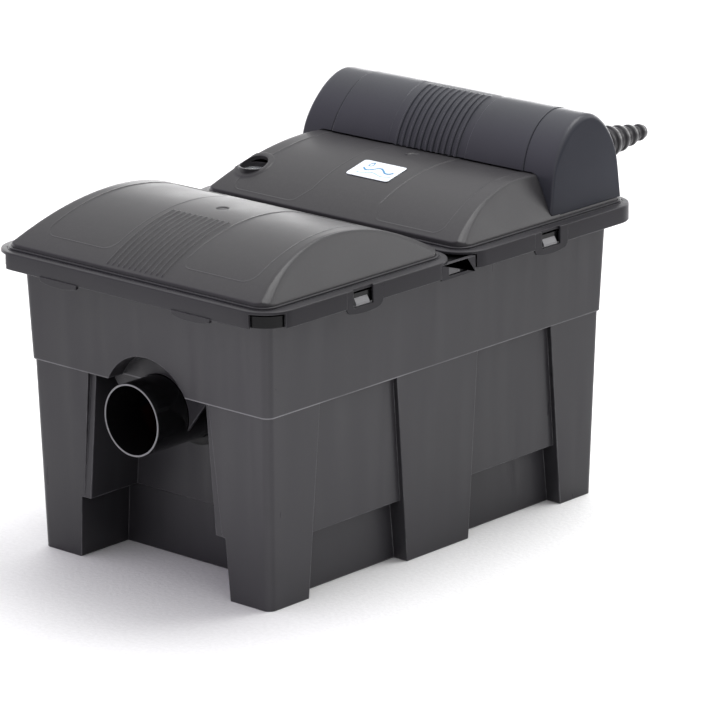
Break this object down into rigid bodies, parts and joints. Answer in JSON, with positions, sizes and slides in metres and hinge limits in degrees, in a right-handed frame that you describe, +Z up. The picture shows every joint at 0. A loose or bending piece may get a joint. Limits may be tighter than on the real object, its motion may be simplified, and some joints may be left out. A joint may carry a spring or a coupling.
{
  "type": "flow-through pond filter",
  "caption": "Box-shaped flow-through pond filter with domed clip-on covers, a hooded UV clarifier, a stepped hose inlet and a large pipe outlet.",
  "frame": {"origin": "on the floor, in the middle of the tub's underside, midway between the front and rear skirts of the covers", "axes": "+Z up; the outlet pipe points along -Y; the hose inlet points along +Y; +X is to the right seen from the outlet side"},
  "size_m": [0.3868, 0.6893, 0.417],
  "materials": {
    "tub": "fine-grained anthracite moulding, slightly glossy",
    "cover": "fine-grained anthracite moulding",
    "hood": "fine-grained anthracite moulding",
    "pipe": "smooth black",
    "fitting": "black moulded fitting",
    "rubber": "soft black",
    "grid": "plain moulding",
    "foam_blue": "coarse open-cell foam",
    "foam_red": "fine open-cell foam",
    "label": null,
    "clear": "clear",
    "float": "white",
    "quartz": "clear quartz",
    "lamp": "frosted lamp tube",
    "cable": "black sheath",
    "handle": "blue moulding"
  },
  "bodies": {
    "tub": {"container": "tub", "outlet_pipe": "pipe", "outlet_seal": "rubber", "base_grate": "grid", "partition_wall": "grid", "drain_spigot": "fitting", "drain_seal": "rubber"},
    "outlet_nut": {"outlet_locknut": "fitting"},
    "front_cover": {"front_lid": "cover", "front_lid_frame": "cover", "front_lid_seal": "rubber"},
    "rear_cover": {"rear_lid": "cover", "rear_lid_frame": "cover", "rear_lid_seal": "rubber", "name_label": "label", "window_lens": "clear", "float_guide": "fitting", "uvc_spout": "fitting", "uvc_housing": "fitting", "uvc_end_plug": "fitting", "uvc_cradle_left": "fitting", "uvc_cradle_right": "fitting", "ballast_box": "fitting", "cable_gland": "cable", "power_cable": "cable", "mains_plug": "cable", "hose_seal_ring": "rubber", "hose_adapter": "fitting"},
    "hood": {"uvc_hood": "hood"},
    "front_right_clip": {"clip_front_right": "cover"},
    "front_left_clip": {"clip_front_left": "cover"},
    "rear_right_clip": {"clip_rear_right": "cover"},
    "rear_left_clip": {"clip_rear_left": "cover"},
    "lamp_unit": {"uvc_lamp_head": "fitting", "quartz_sleeve": "quartz", "uvc_lamp": "lamp", "sleeve_seal_ring": "rubber"},
    "union_nut": {"hose_union_nut": "fitting"},
    "float": {"level_float": "float"},
    "front_cartridge": {"foam_carrier_front": "handle", "foam_blue_front": "foam_blue", "foam_red_front": "foam_red"},
    "rear_cartridge": {"foam_carrier_rear": "handle", "foam_blue_rear": "foam_blue", "foam_red_rear": "foam_red"},
    "drain_knob": {"drain_cap": "fitting"}
  },
  "joints": [
    {"name": "front_cover_lift", "type": "slide", "parent": "tub", "child": "front_cover", "axis": [0, 0, 1], "range_m": [0, 0.12]},
    {"name": "rear_cover_lift", "type": "slide", "parent": "tub", "child": "rear_cover", "axis": [0, 0, 1], "range_m": [0, 0.12]},
    {"name": "hood_lift", "type": "slide", "parent": "rear_cover", "child": "hood", "axis": [0, 0, 1], "range_m": [0, 0.1]},
    {"name": "front_right_clip_hinge", "type": "hinge", "parent": "front_cover", "child": "front_right_clip", "pos_m": [0.1921, -0.1465, 0.3165], "axis": [0, -1, 0], "range_deg": [0, 6]},
    {"name": "front_left_clip_hinge", "type": "hinge", "parent": "front_cover", "child": "front_left_clip", "pos_m": [-0.1921, -0.1465, 0.3165], "axis": [0, 1, 0], "range_deg": [0, 6]},
    {"name": "rear_right_clip_hinge", "type": "hinge", "parent": "rear_cover", "child": "rear_right_clip", "pos_m": [0.1921, 0.138, 0.3165], "axis": [0, -1, 0], "range_deg": [0, 6]},
    {"name": "rear_left_clip_hinge", "type": "hinge", "parent": "rear_cover", "child": "rear_left_clip", "pos_m": [-0.1921, 0.138, 0.3165], "axis": [0, 1, 0], "range_deg": [0, 6]},
    {"name": "lamp_head_twist", "type": "hinge", "parent": "rear_cover", "child": "lamp_unit", "pos_m": [-0.1, 0.214, 0.36], "axis": [1, 0, 0], "range_deg": [0, 45]},
    {"name": "union_nut_turn", "type": "hinge", "parent": "rear_cover", "child": "union_nut", "pos_m": [0.0985, 0.287, 0.354], "axis": [0, 1, 0], "continuous": true},
    {"name": "float_travel", "type": "slide", "parent": "rear_cover", "child": "float", "axis": [0, 0, 1], "range_m": [-0.008, 0.0045]},
    {"name": "front_cartridge_lift", "type": "slide", "parent": "tub", "child": "front_cartridge", "axis": [0, 0, 1], "range_m": [0, 0.03]},
    {"name": "rear_cartridge_lift", "type": "slide", "parent": "tub", "child": "rear_cartridge", "axis": [0, 0, 1], "range_m": [0, 0.03]},
    {"name": "drain_cap_turn", "type": "hinge", "parent": "tub", "child": "drain_knob", "pos_m": [0, 0.247, 0.033], "axis": [0, 1, 0], "continuous": true},
    {"name": "outlet_nut_turn", "type": "hinge", "parent": "tub", "child": "outlet_nut", "pos_m": [0, -0.176, 0.1728], "axis": [0, 1, 0], "continuous": true}
  ]
}
